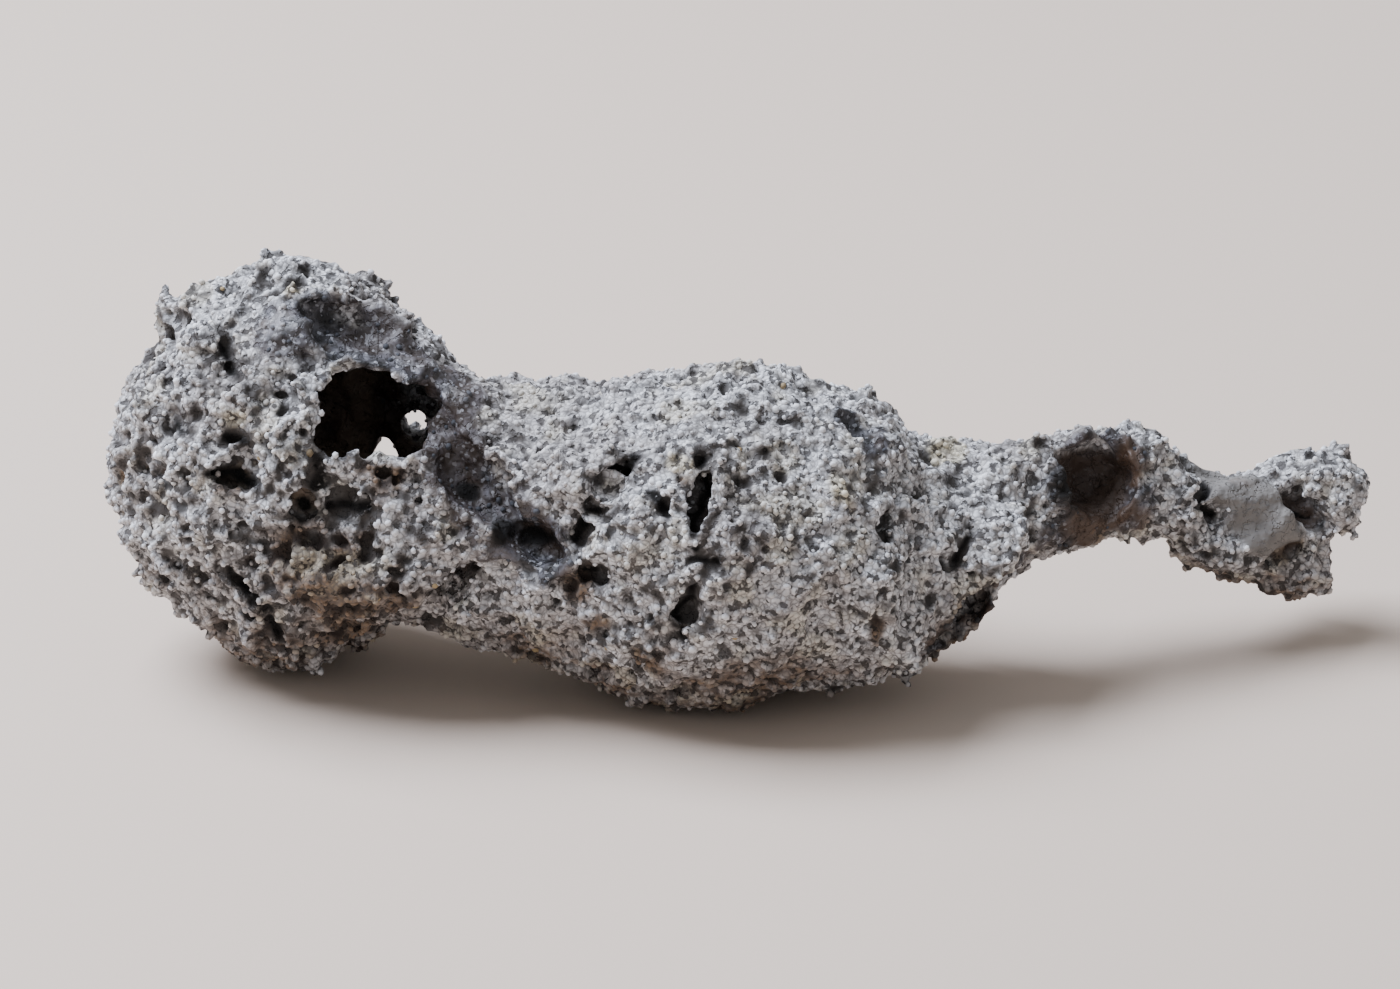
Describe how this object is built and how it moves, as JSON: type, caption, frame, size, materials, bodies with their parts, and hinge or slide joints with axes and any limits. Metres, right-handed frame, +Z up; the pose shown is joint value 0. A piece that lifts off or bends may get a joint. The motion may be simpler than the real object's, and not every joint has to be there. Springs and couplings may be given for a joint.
{
  "type": "fulgurite",
  "caption": "Hollow tube of lightning-fused sand lying on its side: a round bulb with a ragged break into its hollow, a neck, a fat cracked belly and a thin raised forked tail.",
  "frame": {"origin": "bottom centre of the bounding box, on the surface the piece rests on", "axes": "+X along the tube from the bulb to the tail's tip, +Z up, -Y towards the side with the large break"},
  "size_m": [0.1216, 0.0458, 0.0413],
  "materials": {
    "fused_sand_crust": "rough, grainy, light grey"
  },
  "bodies": {
    "root": {"fulgurite": "fused_sand_crust"}
  },
  "joints": []
}
